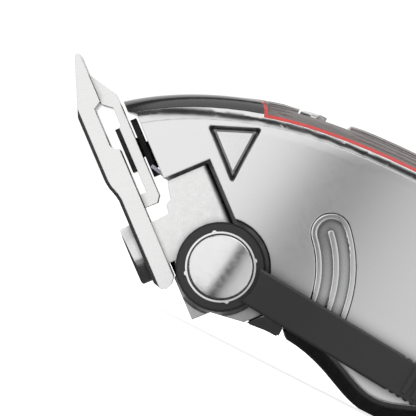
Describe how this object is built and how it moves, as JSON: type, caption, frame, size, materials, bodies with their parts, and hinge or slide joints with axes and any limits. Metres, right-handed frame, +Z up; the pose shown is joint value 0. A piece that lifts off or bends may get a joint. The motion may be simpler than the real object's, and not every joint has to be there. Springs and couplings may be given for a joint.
{
  "type": "hair clipper",
  "caption": "Hair clipper with a toothed bottom blade on an adjusting bracket, a moving cutter, a taper lever on a curved track, a metal-look shell and a rubber belly.",
  "frame": {"origin": "on the belly's resting patch, on the mid-plane of the body", "axes": "+X from the blades to the cord end, +Y to the side without the lever, +Z up"},
  "size_m": [0.1651, 0.0498, 0.0338],
  "materials": {
    "satin_metal_shell": "satin metallic finish over a moulded shell",
    "die_cast": "bead-blasted die casting",
    "spine_gloss": "dark grey gloss",
    "polished_trim": "polished",
    "red_film": "red, seen under the smoky cover",
    "smoky_cover": "smoky, finely ridged along its length",
    "belly_rubber": "soft-touch black",
    "black_plastic": "fine texture",
    "bush_rubber": "matt",
    "screw_steel": "turned, bright",
    "insert_grey": "satin",
    "track_satin": "satin recess, bright rim",
    "lever_black": "dark grey moulding",
    "shaft_steel": "turned",
    "bracket_steel": "bright stamped sheet",
    "blade_steel": "ground and lightly brushed",
    "spring_steel": "blued spring strip",
    "laminations": "stacked laminations, varnished",
    "copper_winding": "enamelled copper wire under tape",
    "bulkhead_plastic": "glass-filled nylon",
    "switch_silver": "satin silver"
  },
  "bodies": {
    "housing": {"left_housing": "satin_metal_shell", "right_housing": "satin_metal_shell", "head_frame": "die_cast", "spine_cover": "spine_gloss", "top_bezel": "polished_trim", "red_liner": "red_film", "top_grip": "smoky_cover", "belly_grip": "belly_rubber", "belly_trim": "polished_trim", "rear_cap": "black_plastic", "inlet_bush": "bush_rubber", "housing_screws": "screw_steel", "frame_screws": "screw_steel", "triangle_insert": "insert_grey", "lever_track": "track_satin", "guide_posts": "screw_steel", "cutter_spring": "spring_steel", "motor_core": "laminations", "motor_coil": "copper_winding", "coil_bobbin": "black_plastic", "motor_screws": "screw_steel", "motor_bulkhead": "bulkhead_plastic", "armature_pin": "screw_steel", "leaf_springs": "spring_steel", "switch_block": "black_plastic"},
    "lever": {"taper_lever": "lever_black", "lever_screw": "screw_steel", "star_washer": "screw_steel", "under_washer": "lever_black", "eccentric_shaft": "shaft_steel", "shaft_clip": "screw_steel"},
    "bracket": {"adjusting_bracket": "bracket_steel", "bottom_blade": "blade_steel", "blade_screws": "screw_steel"},
    "cutter": {"cutter": "blade_steel", "cutter_runner": "black_plastic"},
    "armature": {"armature": "laminations", "drive_shoe": "black_plastic"},
    "switch": {"switch_slider": "switch_silver"}
  },
  "joints": [
    {"name": "lever_turn", "type": "hinge", "parent": "housing", "child": "lever", "pos_m": [-0.0262, 0, 0.0085], "axis": [0, -1, 0], "range_deg": [0, 45]},
    {"name": "blade_adjust", "type": "slide", "parent": "housing", "child": "bracket", "axis": [-0.766, 0, 0.6428], "range_m": [-0.0015, 0]},
    {"name": "armature_swing", "type": "hinge", "parent": "housing", "child": "armature", "pos_m": [0.0198, 0, 0.01925], "axis": [0, 0, 1], "range_deg": [-1.17, 1.17], "stiffness_Nm_per_rad": 2, "deforming": ["leaf_springs"]},
    {"name": "cutter_stroke", "type": "slide", "parent": "housing", "child": "cutter", "axis": [0, 1, 0], "range_m": [-0.0013, 0.0013]},
    {"name": "switch_slide", "type": "slide", "parent": "housing", "child": "switch", "axis": [0.989, 0, 0.1478], "range_m": [0, 0.003]}
  ],
  "couplings": [
    {"joint": "lever_turn", "follows": "blade_adjust", "rad_per_m": -523.6},
    {"joint": "cutter_stroke", "follows": "armature_swing", "m_per_rad": -0.0633}
  ]
}
